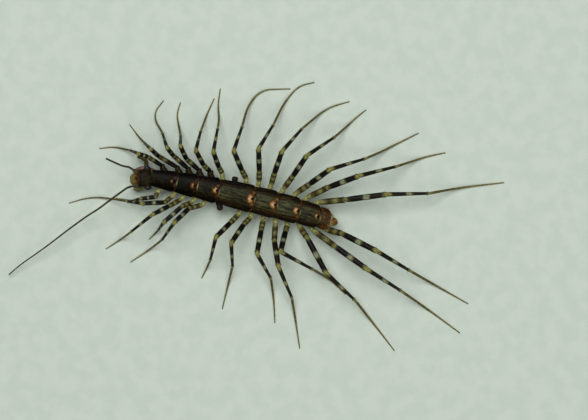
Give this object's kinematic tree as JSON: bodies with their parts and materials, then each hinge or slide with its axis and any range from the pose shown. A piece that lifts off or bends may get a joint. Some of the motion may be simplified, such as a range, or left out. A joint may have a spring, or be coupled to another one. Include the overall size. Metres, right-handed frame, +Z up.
{
  "type": "australian house centipede",
  "caption": "Still, life-size house centipede standing on long, spread, banded legs, with a plated back, compound eyes and a whip-like feeler.",
  "frame": {"origin": "centre of the box round the whole animal, on the floor that its feet stand on", "axes": "+X from the head towards the tail along the body, +Y to the animal's right, +Z up"},
  "size_m": [0.058, 0.033, 0.005],
  "materials": {
    "back_plate": "waxy dark brown shell with paler streaks",
    "head_shell": "satin brown shell",
    "eye": "glossy black",
    "leg": "olive brown with pale and dark bands",
    "feeler": "matt brown",
    "claw": "amber with a dark tip",
    "tail_shell": "satin red brown"
  },
  "bodies": {
    "root": {"head": "head_shell", "tail": "tail_shell", "trunk_1": "back_plate", "trunk_2": "back_plate", "trunk_3": "back_plate", "trunk_4": "back_plate", "trunk_5": "back_plate", "trunk_6": "back_plate", "trunk_7": "back_plate", "trunk_8": "back_plate", "eye_right": "eye", "antenna_right": "feeler", "palp_right": "leg", "fang_right": "claw", "eye_left": "eye", "antenna_left": "feeler", "palp_left": "leg", "fang_left": "claw", "leg_right_1": "leg", "leg_right_2": "leg", "leg_right_3": "leg", "leg_right_4": "leg", "leg_right_5": "leg", "leg_right_6": "leg", "leg_right_8": "leg", "leg_right_9": "leg", "leg_right_10": "leg", "leg_right_11": "leg", "leg_right_12": "leg", "leg_right_13": "leg", "leg_right_14": "leg", "leg_left_1": "leg", "leg_left_2": "leg", "leg_left_3": "leg", "leg_left_4": "leg", "leg_left_5": "leg", "leg_left_8": "leg", "leg_left_9": "leg", "leg_left_10": "leg", "leg_left_11": "leg", "leg_left_12": "leg", "leg_left_13": "leg", "leg_left_14": "leg", "leg_left_15": "leg"}
  },
  "joints": []
}
